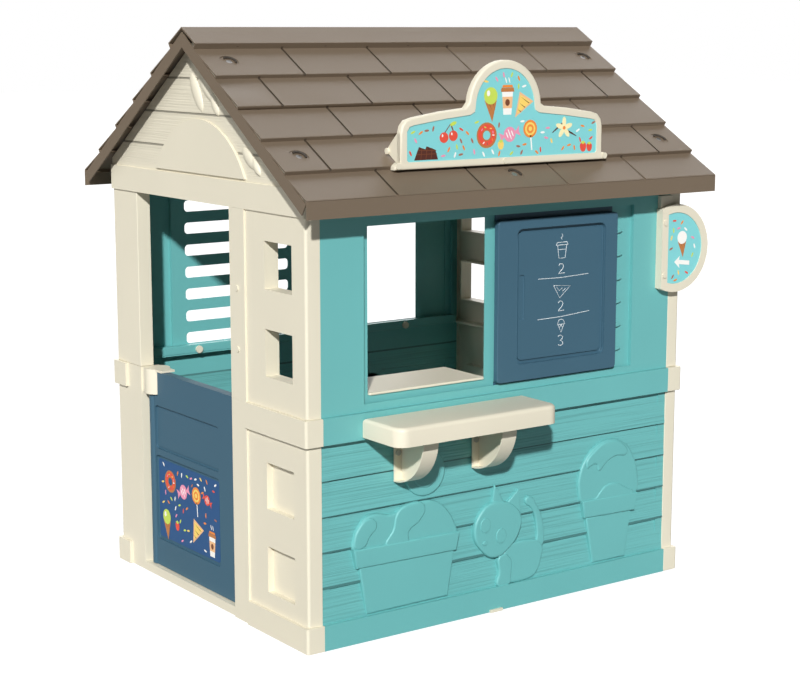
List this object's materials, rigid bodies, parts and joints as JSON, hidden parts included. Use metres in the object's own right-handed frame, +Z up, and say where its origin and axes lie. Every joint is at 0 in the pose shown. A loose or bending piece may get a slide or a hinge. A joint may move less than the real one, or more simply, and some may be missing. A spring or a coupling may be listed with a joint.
{
  "type": "plastic playhouse",
  "caption": "Children's plastic playhouse with pitched shingle roof, half door on one gable, sliding-shutter serving window with fold-out style shelf, louvred walls and shaped signs.",
  "frame": {"origin": "middle of the footprint's bounding box, on the floor", "axes": "+Z up; -Y out of the serving window's wall; -X out of the gable with the half door"},
  "size_m": [1.132, 1.041, 1.2699],
  "materials": {
    "wall": "fine-grained teal plastic",
    "roof": "fine-grained brown plastic",
    "gable": "fine-grained cream plastic",
    "shutter": "fine-grained dark blue plastic",
    "door_print": "printed film",
    "sign_print": "printed film",
    "steel": "plain zinc-plated steel"
  },
  "bodies": {
    "shell": {"wall_front_lower": "wall", "wall_back_lower": "wall", "wall_front_upper": "wall", "wall_back_upper": "wall", "inner_rail_front": "wall", "inner_rail_back": "wall", "roof_panel_front": "roof", "roof_panel_back": "roof", "gable_left_lower": "gable", "gable_right_lower": "gable", "side_panel_left": "gable", "side_panel_right": "gable", "upper_post_left": "gable", "upper_post_right": "gable", "pediment_left": "gable", "pediment_right": "gable", "serving_shelf": "gable", "shelf_bracket_left": "gable", "shelf_bracket_right": "gable", "window_counter": "gable", "door_hinge_bracket": "gable", "roof_sign_frame": "gable", "roof_sign_print": "sign_print", "corner_sign_frame": "gable", "corner_sign_print": "sign_print", "roof_screws": "steel", "side_panel_screws": "steel", "wall_plugs": "gable", "bracket_screws": "steel", "roof_sign_screws": "steel", "corner_sign_screws": "steel", "ground_clips": "gable"},
    "shutter": {"serving_shutter": "shutter"},
    "door": {"half_door": "shutter", "door_hinge_pins": "steel", "door_sticker": "door_print"}
  },
  "joints": [
    {"name": "shutter_slide", "type": "slide", "parent": "shell", "child": "shutter", "axis": [-1, 0, 0], "range_m": [0, 0.33]},
    {"name": "door_hinge", "type": "hinge", "parent": "shell", "child": "door", "pos_m": [-0.499, 0.3065, 0.25], "axis": [0, 0, -1], "range_deg": [0, 100]}
  ]
}
